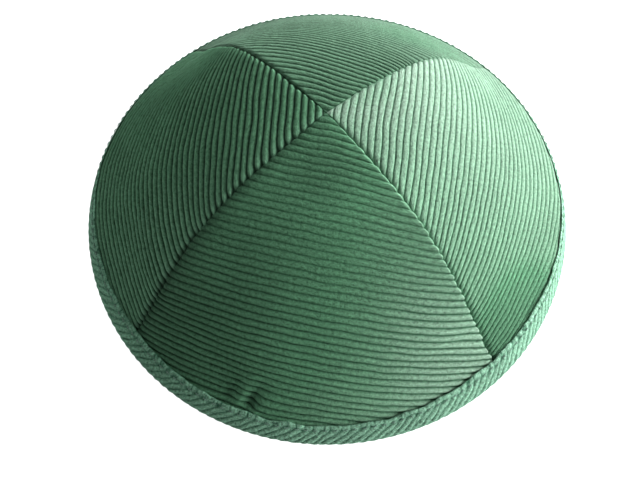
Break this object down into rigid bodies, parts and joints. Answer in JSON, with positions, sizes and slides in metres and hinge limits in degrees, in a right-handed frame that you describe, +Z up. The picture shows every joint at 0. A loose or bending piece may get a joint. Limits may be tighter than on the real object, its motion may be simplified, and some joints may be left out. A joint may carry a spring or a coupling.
{
  "type": "corduroy kippah",
  "caption": "Shallow round skullcap of green corduroy gores that meet at the top, with a bias-cut corduroy binding folded round its rim.",
  "frame": {"origin": "centre of the rim on the surface that the kippah rests on", "axes": "+Z up through the crown, +X towards the right gore and -Y towards the front gore as the picture shows them"},
  "size_m": [0.168, 0.168, 0.05],
  "materials": {
    "corduroy": "napped green corduroy, about 12 wales to the inch, matt with a soft sheen on the pile",
    "binding": "the same corduroy cut on the bias, its wales slanting across the tape"
  },
  "bodies": {
    "root": {"panel_front": "corduroy", "panel_right": "corduroy", "panel_back": "corduroy", "panel_left": "corduroy", "rim_binding": "binding"}
  },
  "joints": []
}
